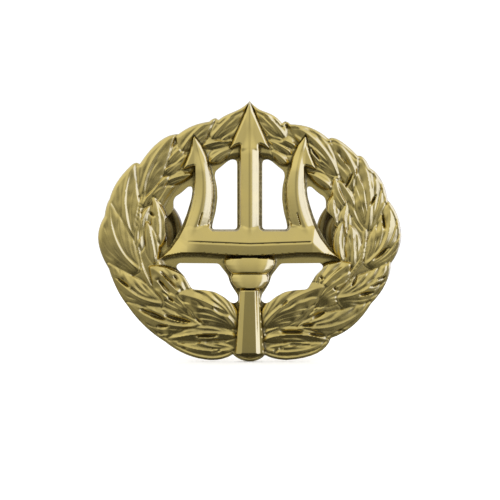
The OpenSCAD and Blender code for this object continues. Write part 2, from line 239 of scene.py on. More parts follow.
RIGHT_LEAVES = [
    ((5.3, 9.6), (4.4, 10.6), (3.0, 11.5), 0.6, 1.2, 1.4, 0.3),
    ((5.9, 10.9), (4.6, 12.2), (2.5, 12.9), 0.65, 1.2, 1.5, 0.5),
    ((6.6, 11.9), (4.8, 13.2), (2.2, 13.6), 0.65, 1.3, 1.6, 0.5),
    ((4.6, 12.9), (2.3, 14.6), (0.7, 17.3), 0.75, 1.3, 1.6, 0.5),
    ((5.0, 13.2), (3.2, 15.8), (0.3, 18.2), 1.15, 1.3, 1.7, 0.8),
    ((11.5, 6.1), (10.2, 7.5), (8.0, 8.4), 0.7, 1.2, 1.4, 0.3),
    ((12.3, 7.2), (11.2, 10.4), (8.2, 12.6), 1.0, 1.3, 1.6, 0.6),
    ((12.2, 7.9), (10.6, 12.7), (5.1, 15.5), 1.75, 1.3, 1.8, 1.0),
    ((12.4, 0.8), (11.0, 3.6), (11.9, 5.6), 0.8, 1.2, 1.5, 0.8),
    ((14.9, 2.4), (12.3, 4.4), (11.8, 7.7), 0.95, 1.3, 1.6, 1.0),
    ((16.0, 0.2), (14.8, 4.4), (12.3, 7.4), 0.8, 1.3, 1.6, 0.5),
    ((15.4, 5.0), (14.6, 10.6), (11.3, 13.3), 1.65, 1.3, 1.8, 1.0),
    ((14.0, -1.6), (12.6, 1.4), (13.5, 4.2), 0.85, 1.2, 1.5, 0.8),
    ((12.9, -4.0), (11.9, -1.2), (12.9, 1.8), 0.75, 1.2, 1.4, 0.3),
    ((14.3, -4.8), (14.7, -1.0), (13.9, 1.2), 1.0, 1.3, 1.6, 0.8),
    ((16.4, 0.4), (17.3, 6.2), (15.4, 10.7), 1.85, 1.3, 1.8, 1.0),
    ((8.7, -10.2), (10.2, -6.2), (14.0, -4.2), 1.95, 1.3, 1.8, 0.9),
    ((16.0, -4.4), (20.2, -1.8), (19.3, 4.4), 1.95, 1.3, 1.8, 1.0),
    ((2.0, -13.9), (6.0, -12.4), (9.2, -9.9), 0.95, 1.2, 1.5, 1.0),
    ((12.0, -9.0), (17.3, -8.7), (19.5, -4.1), 1.9, 1.3, 1.8, 1.0),
    ((1.8, -13.0), (4.3, -9.0), (10.5, -7.3), 1.7, 1.3, 1.8, 0.7),
    ((6.6, -13.0), (13.0, -14.2), (17.0, -9.5), 1.75, 1.3, 1.8, 0.8),
    ((1.8, -14.9), (6.0, -13.2), (11.2, -15.0), 0.95, 1.3, 1.7, 1.0),
    ((1.8, -16.2), (6.2, -17.3), (11.0, -15.2), 1.15, 1.3, 1.7, 0.6),
]
LEFT_STEM = [(-1.9, -14.0), (-5.0, -13.1), (-7.6, -12.4), (-12.2, -9.6), (-14.2, -6.6), (-15.3, -3.8),
             (-15.7, 0.0), (-15.2, 3.6), (-14.6, 5.6)]
RIGHT_STEM = [(1.9, -14.0), (5.2, -13.0), (8.0, -11.4), (12.4, -8.6), (14.0, -5.8), (15.6, -3.4),
              (16.0, 0.0), (15.9, 2.6), (15.2, 5.8)]
STEM_HALF_W = 0.34
STEM_H = 1.6

# Short dark cuts between veins: (from, to, half width).
CUTS = [
    ((-13.9, 2.9), (-13.2, 2.3), 0.2), ((-10.6, -5.8), (-9.9, -6.6), 0.18),
    ((-11.4, -8.9), (-10.5, -9.5), 0.2), ((-12.7, -6.4), (-10.9, -8.6), 0.3),
    ((-12.4, -5.2), (-9.9, -7.9), 0.22), ((-15.4, -10.5), (-11.6, -12.0), 0.4),
    ((-11.9, -11.4), (-7.8, -12.4), 0.32), ((-12.9, -12.9), (-11.2, -12.9), 0.2),
    ((-7.6, -14.3), (-4.2, -14.1), 0.26), ((-10.2, -15.2), (-6.6, -15.1), 0.24),
    ((-6.2, -15.2), (-3.0, -14.9), 0.28), ((-9.8, -16.1), (-8.7, -15.9), 0.16),
    ((-5.3, -16.6), (-3.9, -16.3), 0.2), ((-5.1, -10.2), (-3.0, -11.5), 0.34),
    ((-18.9, -5.9), (-16.6, -7.6), 0.24), ((17.0, -3.8), (19.5, -1.8), 0.3),
    ((14.9, -5.9), (14.2, -7.4), 0.28), ((17.6, -6.5), (19.0, -6.0), 0.18),
    ((16.6, -7.5), (18.3, -6.9), 0.2), ((15.0, -8.5), (17.4, -8.2), 0.3),
    ((8.7, -11.9), (10.5, -10.9), 0.26), ((12.2, -13.5), (13.6, -13.6), 0.2),
    ((7.0, -12.9), (9.2, -12.6), 0.26), ((11.6, -7.5), (12.1, -7.9), 0.2),
    ((9.8, -6.0), (10.2, -6.4), 0.2), ((4.0, -13.6), (7.6, -13.7), 0.3),
    ((8.2, -13.9), (10.4, -14.3), 0.2), ((3.3, -16.6), (3.9, -16.3), 0.26),
    ((4.1, -15.9), (4.6, -16.1), 0.2), ((5.4, -15.5), (8.6, -15.6), 0.2),
    ((4.2, -10.2), (5.4, -9.3), 0.2), ((16.6, 3.6), (17.6, 5.4), 0.18), ((13.3, 6.3), (14.3, 8.4), 0.2),
    ((9.9, 9.9), (8.4, 11.9), 0.18), ((18.4, 2.9), (18.8, 0.4), 0.2),
]
CUT_DEPTH = 0.42

# The ground under the leaves starts at an oval, given by its middle's level and its half width and height.
BED_H = 1.35
BED_OVAL = (-0.2, 12.6, 10.6)
# A leaf: its body, its midrib, the veins that fan out from behind its foot, and its edge.
LEAF_CROWN = 0.2
LEAF_BELLY = 0.12
FULL_HALF_W = 2.0
WIDEN = 1.2
OUTWARD_WIDEN = 1.35
OUTER_LEAF_HALF_W = 1.4
RIB_H = 0.13
RIB_HALF_W = 0.18
FAN_ANGLE = 0.135
FAN_START = 0.8
FAN_RAMP = 0.8
VEIN_DEPTH = 0.23
VEIN_CELL = 0.55
DRIFT_PITCH = 3.4
FADING_PITCH = 2.6
LEAF_EDGE_DROP = 0.16
LEAF_EDGE_W = 0.16
UNDERCUT = 0.14
UNDERCUT_W = 0.12
EDGE_BLUR = 0.09
# The whole wreath: a line and a groove along its rim as (distance from the edge, width), the fall of the
# relief towards the rim, the rolled edge, and the foot where it meets the trident.
BLUR_STEPS = 0.75
UNEVENNESS = 0.012
UNEVEN_PITCH = 2.2
RIM_H = 0.08
RIM_LINE = (0.26, 0.15)
RIM_GROOVE = (0.6, 0.14)
FALL_STARTS = 0.62
FALL_TO_RIM = 0.55
FALL_LOWER_DOWN = 0.4
RIM_DROP = 0.3
EDGE_H = 0.55
ROUND_OVER = 0.55
ROUND_OVER_LOWER = 1.6
FILLET_H = 0.12
FILLET_W = 0.2
# The hollows, darkened with patina and painted shade: each depth below the surroundings is (how far around
# it they reach, its strength).
NEAR_DEPTH = (0.22, 2.9)
WIDE_DEPTH = (0.7, 0.35)
OUTLINE_REACH = 0.3
FOOT_REACH = 0.5
FOOT_DEPTH = 0.68
TRIDENT_DEPTH = 0.75
# Painted shade added over the lower, outer part of the wreath.
LOWER_PAINTED_SHADE = 0.12

# ---------------------------------------------------------------- the hardware behind, in mm

# Sections turned about a post's axis are (radius, height behind the back plane), or above a clutch's disc.
PIN_SECTION = [
    (0.0, 0.0), (0.85, 0.0), (0.85, 0.5), (0.66, 0.5), (0.66, 2.1), (0.47, 2.1), (0.47, 3.4),
    (0.4, 3.5), (0.4, 3.9), (0.47, 4.0), (0.47, 4.35), (0.4, 4.45), (0.4, 4.85), (0.47, 4.95),
    (0.47, 7.6), (0.14, 8.55), (0.0, 8.6),
]
SOLDER_SECTION = [
    (0.84, 0.0), (1.42, 0.0), (1.24, 0.03), (1.08, 0.1), (0.96, 0.21), (0.88, 0.34), (0.84, 0.44),
]
SHEET_T = 0.3
# The middle of the disc's sheet: the pin's hole, the seat of the hub, a raised bead and the turned-up rim.
DISC_MIDDLE = [
    (1.0, 0.26), (1.25, 0.17), (1.6, 0.15), (3.3, 0.15), (3.62, 0.2), (3.9, 0.33), (4.2, 0.38),
    (4.5, 0.33), (4.78, 0.2), (5.05, 0.15), (5.3, 0.17), (5.48, 0.3), (5.55, 0.5), (5.55, 0.8),
]
# The middle of the hub's sheet, above the disc: its wall, its rounded shoulder and the mouth for the pin.
HUB_MIDDLE = [(2.75, 0.0), (2.75, 2.35), (2.7, 2.62), (2.55, 2.83), (2.3, 2.93), (2.0, 2.95), (1.35, 2.95),
              (1.12, 2.88), (1.02, 2.76)]
# The slots for the spring, on both sides of the hub: (from the axis, lowest, highest) above the disc.
HUB_SLOTS = [(1.6, 1.0, 2.8), (2.15, 1.0, 4.0)]
HUB_SLOT_HALF_W = 1.9
HUB_SLOT_FAR = 4.0
WING_W = 3.4
WING_FLARE = 0.9
WING_FLARE_RUN = (0.8, 2.6)
# A wing as (out, up) from its pivot: its jaw, two curves as (pulled towards, end), and its rolled tip.
WING_JAW = (-2.2, -1.0)
WING_LEAD = ((-0.9, -0.41), (-0.55, -0.2))
LEAD_POINTS = 6
WING_BEND = ((0.05, 0.1), (0.5, 0.56))
WING_BOW = (0.12, -0.12)
WING_TIP = (2.3, 2.5)
WING_ROLL_R = 0.19
WING_ROLL = (-43.0, 215.0)
EDGE_STARTS = 0.93
EDGE_COLUMNS = [0.96, 0.985, 1.0]
EDGE_THINNING = 0.85
JAW_NOTCH_R = 0.56


# ---------------------------------------------------------------- working with outlines and grids

class Grid:
    """Points on a square grid over a region, in mm."""

    def __init__(self, low, high, step):
        self.step = step
        self.xs = np.arange(low[0] - 2 * step, high[0] + 3 * step, step)
        self.zs = np.arange(low[1] - 2 * step, high[1] + 3 * step, step)
        self.x, self.z = np.meshgrid(self.xs, self.zs, indexing="ij")

    def window(self, low, high):
        """The part of the grid inside a box, as a pair of slices."""
        i0, i1 = np.searchsorted(self.xs, (low[0], high[0]))
        j0, j1 = np.searchsorted(self.zs, (low[1], high[1]))
        return slice(max(i0 - 1, 0), i1 + 1), slice(max(j0 - 1, 0), j1 + 1)

    def near(self, path, reach):
        """The part of the grid within reach of a path, and then what along() says of its points."""
        area = self.window(path.min(axis=0) - reach, path.max(axis=0) + reach)
        return area, *along(path, self.x[area], self.z[area])


def smooth(t):
    """0 below 0, 1 above 1, and a soft step between."""
    t = np.clip(t, 0.0, 1.0)
    return t * t * (3.0 - 2.0 * t)


def eased(value, start, length):
    """0 below start, 1 from length above it, and a soft step between."""
    return smooth((value - start) / length)


def bell(distance, width):
    """1 on a line, and next to nothing from two widths away."""
    return np.exp(-(distance / width) ** 2)


def read_along(share, values):
    """Values set evenly along a path, read at each share of its length."""
    return np.interp(share, np.linspace(0.0, 1.0, len(values)), values)


def bent(foot, bend, tip, count):
    """Points along a curve from foot to tip, pulled towards bend."""
    t = np.linspace(0.0, 1.0, count)[:, None]
    return (1 - t) ** 2 * np.array(foot) + 2 * t * (1 - t) * np.array(bend) + t * t * np.array(tip)


def chain(start, curves, per_curve=9):
    """Points along a chain of curves, without its last point."""
    points = []
    for bend, end in curves:
        points.extend(bent(start, bend, end, per_curve)[:-1].tolist())
        start = end
    return points


def mirrored(points):
    return [(-x, z) for x, z in points]


def both_sides(half):
    """The whole outline of a shape, from a half on the +X side that starts and ends on the middle line."""
    return half + mirrored(half[::-1])[1:-1]


def rounded(points, radius, per_corner=5):
    """A closed outline with its corners rounded."""
    out = []
    for i, corner in enumerate(points):
        corner = np.array(corner, dtype=float)
        before = np.array(points[i - 1]) - corner
        after = np.array(points[(i + 1) % len(points)]) - corner
        cut = min(radius, 0.45 * np.linalg.norm(before), 0.45 * np.linalg.norm(after))
        start = corner + before / np.linalg.norm(before) * cut
        end = corner + after / np.linalg.norm(after) * cut
        out.extend(bent(start, corner, end, per_corner).tolist())
    return out


def through(points, per_span):
    """A smooth curve through the points."""
    p = np.array([points[0]] + list(points) + [points[-1]], dtype=float)
    t = np.linspace(0.0, 1.0, per_span, endpoint=False)[:, None]
    out = []
    for a, b, c, d in zip(p, p[1:], p[2:], p[3:]):
        out.append(b + 0.5 * t * (c - a + t * (2 * a - 5 * b + 4 * c - d + t * (3 * b - a - 3 * c + d))))
    return np.concatenate(out + [p[-1:]])


def inside_by(points, x, z):
    """Distance to a closed outline, positive inside it and negative outside."""
    nearest = np.full(x.shape, 1e9)
    inside = np.zeros(x.shape, dtype=bool)
    for (ax, az), (bx, bz) in zip(points, points[1:] + points[:1]):
        ex, ez = bx - ax, bz - az
        length2 = ex * ex + ez * ez
        if length2 < 1e-12:
            continue
        t = np.clip(((x - ax) * ex + (z - az) * ez) / length2, 0.0, 1.0)
        nearest = np.minimum(nearest, (x - ax - t * ex) ** 2 + (z - az - t * ez) ** 2)
        if ez != 0.0:
            inside ^= ((az > z) != (bz > z)) & (x < ax + ex * (z - az) / ez)
    return np.where(inside, 1.0, -1.0) * np.sqrt(nearest)


def along(path, x, z):
    """How far along a path each point is, as a share, how far to its left, and the path's length."""
    run = path[1:] - path[:-1]
    lengths = np.linalg.norm(run, axis=1)
    starts = np.concatenate([[0.0], np.cumsum(lengths)])
    best = np.full(x.shape, 1e9)
    share = np.zeros(x.shape)
    left = np.zeros(x.shape)
    for i, (rx, rz) in enumerate(run):
        dx, dz = x - path[i, 0], z - path[i, 1]
        low = -9.0 if i == 0 else 0.0
        high = 9.0 if i == len(run) - 1 else 1.0
        t = np.clip((dx * rx + dz * rz) / lengths[i] ** 2, low, high)
        gap2 = (dx - t * rx) ** 2 + (dz - t * rz) ** 2
        nearer = gap2 < best
        best = np.where(nearer, gap2, best)
        share = np.where(nearer, (starts[i] + t * lengths[i]) / starts[-1], share)
        left = np.where(nearer, np.sign(rx * dz - rz * dx) * np.sqrt(gap2), left)
    return share, left, starts[-1]


def blurred(values, radius):
    """values with detail finer than radius (in grid steps) smoothed away."""
    fi = np.fft.fftfreq(values.shape[0])[:, None]
    fj = np.fft.rfftfreq(values.shape[1])[None, :]
    keep = np.exp(-2.0 * (math.pi * radius) ** 2 * (fi * fi + fj * fj))
    return np.fft.irfft2(np.fft.rfft2(values) * keep, s=values.shape)


def ripple(x, z, size, seed):
    """A smooth, repeatable unevenness between about -1 and 1."""
    rng = np.random.default_rng(seed)
    total = np.zeros_like(x)
    for _ in range(9):
        angle, phase = rng.uniform(0.0, 2.0 * math.pi, 2)
        pitch = size * rng.uniform(0.6, 1.6)
        total += np.sin((x * math.cos(angle) + z * math.sin(angle)) * 2.0 * math.pi / pitch + phase)
    return total / 4.0


# ---------------------------------------------------------------- making the trident's relief

def dome(inset, half_width):
    """Height share of a half-round section, from its edge to the line half_width inside it."""
    t = np.clip(inset / half_width, 0.0, 1.0)
    return np.sqrt(np.clip(1.0 - (1.0 - t) ** 2, 0.0, 1.0))


def drafted(inset, top):
    """A body's height: steep walls up from its edge, drawn in slightly, up to its top surface."""
    return np.minimum(BASE_H + DRAFT * np.maximum(inset, 0.0), top)


def raised_to(height, other, softness):
    """The higher of two heights, with the line where they meet blended over softness."""
    gap = np.clip(0.5 + 0.5 * (other - height) / softness, 0.0, 1.0)
    return height + (other - height) * gap + softness * gap * (1.0 - gap)


def prong(off_axis, half_w):
    """Height of a round prong, off_axis to either side of its middle line."""
    ridge_r = PRONG_RIDGE * half_w
    fall = PRONG_SLOPE * (np.hypot(off_axis, ridge_r) - ridge_r)
    edge = PRONG_EDGE * (1.0 - dome(half_w - off_axis, PRONG_EDGE))
    return np.where(off_axis < half_w, CROSSBAR_H - PRONG_DROP - fall - edge, 0.0)


def arrowhead(top, inset, z, rise):
    """An arrowhead's height: its top down to its bevelled edge, rising out of the prong below it."""
    return np.minimum(top, top - HEAD_BEVEL + BEVEL_SLOPE * inset) - FADE_DEPTH * (1.0 - eased(z, *rise))


def prongs_relief(reach, z, inset):
    """Height of the three prongs and their heads, at a distance of reach from the middle line."""
    narrowing = np.clip((MIDDLE_TIP_Z - z) / (MIDDLE_TIP_Z - MIDDLE_NOTCH_Z), 0.02, 1.0) ** 0.8
    middle = prong(reach, MIDDLE_HALF_W * narrowing) - PRONG_DIP * eased(z, *MIDDLE_DIP)
    share, left, _ = along(through(SIDE_SPINE, 4), reach, z)
    side = prong(np.abs(left), read_along(share, SIDE_SPINE_W)) - PRONG_DIP * eased(z, *SIDE_DIP)

    tilt = HEAD_TILT * (np.hypot(reach, HEAD_RIDGE_R) - HEAD_RIDGE_R)
    head = CROSSBAR_H - HEAD_DROP - tilt - HEAD_FALL * (z - MIDDLE_NOTCH_Z)
    head = arrowhead(head, inset, z, HEAD_RISE)
    side_head = CROSSBAR_H - SIDE_HEAD_DROP - HEAD_FALL * (z - SIDE_NOTCH_Z)
    side_head = arrowhead(side_head, inset, z, SIDE_HEAD_RISE)
    return raised_to(np.maximum(middle, side), np.where(reach < HALFWAY_X, head, side_head), 0.15)


def fork_relief(x, z, inset):
    """Height of the prongs, the crossbar and the horns, in one body."""
    reach = np.abs(x)
    horn_fall = HORN_FALL * np.maximum(reach - CORNER_X, 0.0)
    above = z - np.interp(x, [p[0] for p in RIDGE], [p[1] for p in RIDGE])
    lower_face = above < 0.0
    bar = CROSSBAR_H - np.where(above > 0.0, UPPER_FACE_SLOPE * above, LOWER_FACE_CURVE * above ** 2)
    bar = bar - GROOVE_DEPTH * bell(above, GROOVE_W) * smooth((CORNER_X - reach) / 0.3) - horn_fall
    edge_w = np.where(lower_face, LOWER_EDGE_W, 0.12 + 0.16 * smooth(reach / 5.0))
    bar = bar - np.where(lower_face, LOWER_EDGE_FALL, UPPER_EDGE_FALL) * (1.0 - dome(inset, edge_w))
    bar = bar - FADE_DEPTH * eased(z, *BAR_FADE)
    height = raised_to(prongs_relief(reach, z, inset), bar, 0.3)

    share, left, _ = along(np.array(HORN_EDGE), reach, z)
    narrowing = np.where(x < 0.0, 1.0, 1.0 - RIGHT_NARROWING * eased(share, 0.35, 0.2))
    bevel_w = read_along(share, HORN_BEVEL_W) * narrowing
    bevel = np.where(x < 0.0, LEFT_BEVEL, 1.0) * HORN_BEVEL_SLOPE * (bevel_w + left)
    bevel = CROSSBAR_H - HORN_BEVEL_DROP - horn_fall - bevel
    bevel = -raised_to(-height, -np.maximum(bevel, PLATE_H + 0.5), np.where(x < 0.0, 0.35, 0.06))
    height = np.where(z < HORN_TOP_Z, bevel, height)
    share, left, _ = along(np.array(PRONG_CREASE), reach, z)
    return height - CREASE_DEPTH * bell(left, 0.07) * smooth(6.0 * share) * smooth(6.0 * (1.0 - share))


def cups_relief(x, z):
    """Height of the two bulging cups under the crossbar, with a groove between them."""
    sides = CUPS[-2:0:-1]
    half_w = np.interp(z, [p[1] for p in sides], [p[0] for p in sides])
    barrel = np.sqrt(np.clip(1.0 - np.abs(x / (half_w + 0.02)) ** 2.7, 0.0, 1.0))
    upper, lower = (bulge * barrel - CUP_FALL * (z - middle) - CUP_CURVE * (z - middle) ** 2
                    for bulge, middle in CUP_BELLIES)
    cup = PLATE_H + CUP_BASE + np.where(z > CUP_JOINT_Z, upper, lower)
    return cup - 0.25 * bell(z - CUP_JOINT_Z, 0.08)


def shaft_relief(x, z):
    """Height of the shaft, whose right side is a steep facet with a ledge outside it."""
    down = (SHAFT_TOP_Z - z) / (SHAFT_TOP_Z - SHAFT_FOOT_Z)
    flat_w, edge_w = (at_top + wider * down for at_top, wider in (FLAT_W, EDGE_W))
    slope = np.maximum(np.abs(x + FLAT_SHIFT * down) - flat_w, 0.0) / (edge_w - flat_w)
    left_fall = 0.38 * slope + 0.06 * slope ** 3
    right_fall = 0.42 * smooth(slope / 0.6) + 0.08 * slope
    shaft = CROSSBAR_H - SHAFT_DROP - SHAFT_FALL * down - np.where(x > 0.0, right_fall, left_fall)
    return shaft - 0.3 * bell(z - SHAFT_TOP_Z, 0.09)


def trident_relief(x, z):
    """The trident's height, and how far inside its outline each point is."""
    insets = [inside_by(both_sides(half), x, z) for half in (FORK, CUPS, SHAFT)]
    tops = [fork_relief(x, z, insets[0]), cups_relief(x, z), shaft_relief(x, z)]
    parts = [np.where(inset > 0.0, drafted(inset, top), 0.0) for inset, top in zip(insets, tops)]
    return np.maximum(np.max(parts, axis=0), BASE_H), np.max(insets, axis=0)


# ---------------------------------------------------------------- making the wreath's relief

def covered(inset):
    """1 inside an edge and 0 outside it, with the step between blurred."""
    return smooth(0.5 + inset / (2.0 * EDGE_BLUR))


def lay_leaf(grid, relief, leaf, number, outward):
    """Lays one leaf over the relief. outward is 1 if the rim is to the left of its midrib, or else -1."""
    foot, bend, tip, half_width, foot_h, tip_h, veins = leaf
    path = bent(foot, bend, tip, 24)
    area, share, left, length = grid.near(path, half_width * WIDEN * OUTWARD_WIDEN + 0.6)
    if half_width > OUTER_LEAF_HALF_W:
        half_width = half_width * np.where(left * outward > 0.0, OUTWARD_WIDEN, 1.0)
    half_width = half_width * WIDEN
    s = np.clip(share, 0.0, 1.0)
    fullness = np.sin(math.pi * s ** 0.8)
    width = half_width * fullness ** 0.75
    past_ends = np.maximum(np.maximum(-share, share - 1.0), 0.0) * length
    inset = width - np.hypot(left, past_ends)
    across = np.clip(np.abs(left) / np.maximum(width, 0.05), 0.0, 1.0)
    size = np.minimum(half_width / FULL_HALF_W, 1.0)

    body = foot_h + 0.15 + (tip_h - foot_h - 0.1) * s
    body = body + size * LEAF_CROWN * (0.4 + 0.6 * veins) * (0.35 + 0.65 * fullness) * (1.0 - across)
    body = body + size * LEAF_BELLY * fullness * (1.0 - across ** 2)
    rib_w = RIB_HALF_W * (1.2 - 0.6 * s)
    rib = bell(left, rib_w) - 0.5 * bell(np.abs(left) - 2.0 * rib_w, rib_w)
    body = body + RIB_H * rib * smooth(3.0 * (0.97 - s)) * smooth(6.0 * s)

    from_foot = np.hypot(left, length * s + FAN_START)
    drift = ripple(grid.x[area], grid.z[area], DRIFT_PITCH, number)
    fading = ripple(grid.x[area], grid.z[area], FADING_PITCH, number + 50)
    fan = np.arctan2(np.abs(left), length * s + FAN_START) / FAN_ANGLE + 0.1 * drift
    fan = fan - np.floor(fan)
    tooth = np.where(fan < FAN_RAMP, fan / FAN_RAMP, (1.0 - fan) / (1.0 - FAN_RAMP))
    depth = VEIN_DEPTH * veins * np.minimum(from_foot * FAN_ANGLE / VEIN_CELL, 1.2)
    depth = depth * np.clip(0.8 + 0.6 * fading, 0.15, 1.5)
    veined = smooth(5.0 * (across - 0.06)) * smooth(6.0 * (1.0 - across)) * smooth(6.0 * (1.0 - s))
    body = body - depth * tooth * veined * size
    body = body - LEAF_EDGE_DROP * np.exp(-np.maximum(inset, 0.0) / LEAF_EDGE_W)
    body = np.clip(body, PLATE_H, LEAF_TOP_H + 0.1)

    cover = covered(inset)
    undercut = UNDERCUT * bell(np.minimum(inset, 0.0), UNDERCUT_W)
    below = np.maximum(relief[area] - undercut * (relief[area] > PLATE_H + 0.05), PLATE_H)
    relief[area] = below * (1.0 - cover) + body * cover


def make_cut(grid, relief, start, end, half_width):
    """Sinks a short cut, pointed at both ends, into the relief."""
    area, share, left, _ = grid.near(np.array([start, end]), half_width)
    width = half_width * np.sqrt(np.clip(4.0 * share * (1.0 - share), 0.0, 1.0))
    sunk = CUT_DEPTH * smooth(1.3 * (width - np.abs(left)) / half_width)
    relief[area] = np.where(relief[area] > BED_H - 0.2, relief[area] - sunk, relief[area])


def lay_stem(grid, relief, points):
    """Lays a branch's stem over the relief: two cords side by side."""
    area, share, left, _ = grid.near(through(points, 8), 1.0)
    width = STEM_HALF_W * (1.15 - 0.5 * np.clip(share, 0.0, 1.0))
    cord = np.abs(np.abs(left) - 0.5 * width) / (0.5 * width)
    body = STEM_H - 0.25 + 0.25 * np.sqrt(np.clip(1.0 - cord ** 2, 0.0, 1.0))
    cover = covered(width - np.abs(left)) * (share > 0.0) * (share < 1.0)
    relief[area] = relief[area] * (1.0 - cover) + body * cover


def to_rim(grid):
    """How far out each point is: 0 at the wreath's middle, and about 1 at its rim."""
    return np.hypot(grid.x / WREATH_HALF_W, grid.z / WREATH_HALF_H)


def lower_half(grid):
    """1 in the lower part of the wreath, 0 in the upper part, and a soft step between."""
    return smooth(-(grid.z + 1.0) / 8.0)


def wreath_relief(grid, in_trident):
    """The wreath's height on a grid, the same with a square rim, and how far inside its outline it is.

    in_trident is how far inside the trident each point is. The wreath rises a little to meet it, and is
    flat under it.
    """
    edge = chain(WREATH_TOP, RIGHT_EDGE)
    edge += [LEFT_EDGE[-1][1]] + chain(WREATH_TOP, LEFT_EDGE)[:0:-1]
    from_edge = inside_by(edge, grid.x, grid.z)
    inside = from_edge
    for window in WINDOWS:
        for outline in (window, mirrored(window)):
            inside = np.minimum(inside, -inside_by(rounded(outline, WINDOW_CORNER_R), grid.x, grid.z))

    bed_z, bed_half_w, bed_half_h = BED_OVAL
    past_bed = np.minimum(np.hypot(grid.x / bed_half_w, (grid.z - bed_z) / bed_half_h) - 1.0, 1.0)
    relief = PLATE_H + (BED_H - PLATE_H) * smooth(past_bed / 0.08)
    for leaves, stem, outward in ((LEFT_LEAVES, LEFT_STEM, 1), (RIGHT_LEAVES, RIGHT_STEM, -1)):
        under_stem = len(leaves) // 2 + 3
        for number, leaf in enumerate(leaves):
            if number == under_stem:
                lay_stem(grid, relief, stem)
            lay_leaf(grid, relief, leaf, number, outward)
    for start, end, half_width in CUTS:
        make_cut(grid, relief, start, end, half_width)

    relief = blurred(relief, BLUR_STEPS)
    uneven = UNEVENNESS * ripple(grid.x, grid.z, UNEVEN_PITCH, 3)
    relief = relief + uneven * eased(relief, PLATE_H, 0.3)
    ribbed = smooth((grid.x + 9.0) / 9.0 + smooth((-8.0 - grid.z) / 4.0))
    line, groove = (bell(from_edge - at, width) for at, width in (RIM_LINE, RIM_GROOVE))
    rim = RIM_H * (line - groove) * ribbed
    outwards = np.clip((to_rim(grid) - FALL_STARTS) / (1.0 - FALL_STARTS), 0.0, 1.2)
    fall = FALL_TO_RIM * (0.5 - 0.5 * grid.z / WREATH_HALF_H) + FALL_LOWER_DOWN * smooth(-grid.z / 13.0)
    lowest = PLATE_H - RIM_DROP * smooth(-(in_trident + 0.3) / 0.8) * smooth(2.0 * outwards)
    relief = np.maximum(relief - fall * outwards ** 1.3, lowest)
    relief = np.maximum(relief, PLATE_H + FILLET_H * bell(in_trident, FILLET_W))
    wider = lower_half(grid) * smooth(np.abs(grid.x) / 4.0)
    rolled = dome(from_edge, ROUND_OVER + ROUND_OVER_LOWER * wider)
    square = relief + rim
    relief = EDGE_H + (relief - EDGE_H) * (0.15 + 0.85 * rolled) + rim
    return np.where(in_trident > 0.1, np.minimum(relief, PLATE_H), relief), square, inside


# ---------------------------------------------------------------- from a relief to a closed mesh

def facing_front(points):
    """Points (across, up, height) in mm, turned to face -Y, in metres."""
    return [(x * MM, -h * MM, z * MM) for x, z, h in points]


def left_of(walls, triangles):
    """The triangles of the region that lies to the left of the directed edges in walls."""
    owner = {}
    for t, (a, b, c) in enumerate(triangles):
        owner.update({(a, b): t, (b, c): t, (c, a): t})
    walls = set(walls)
    todo = [owner[edge] for edge in walls]
    found = set()
    while todo:
        t = todo.pop()
        if t in found:
            continue
        found.add(t)
        a, b, c = triangles[t]
        for p, q in ((a, b), (b, c), (c, a)):
            if (p, q) not in walls and (q, p) in owner:
                todo.append(owner[(q, p)])
    return [triangles[t] for t in sorted(found)]


def new_object(name, data):
    """An object in the scene, made of a mesh or another kind of data."""
    made = bpy.data.objects.new(name, data)
    bpy.context.scene.collection.objects.link(made)
    return made


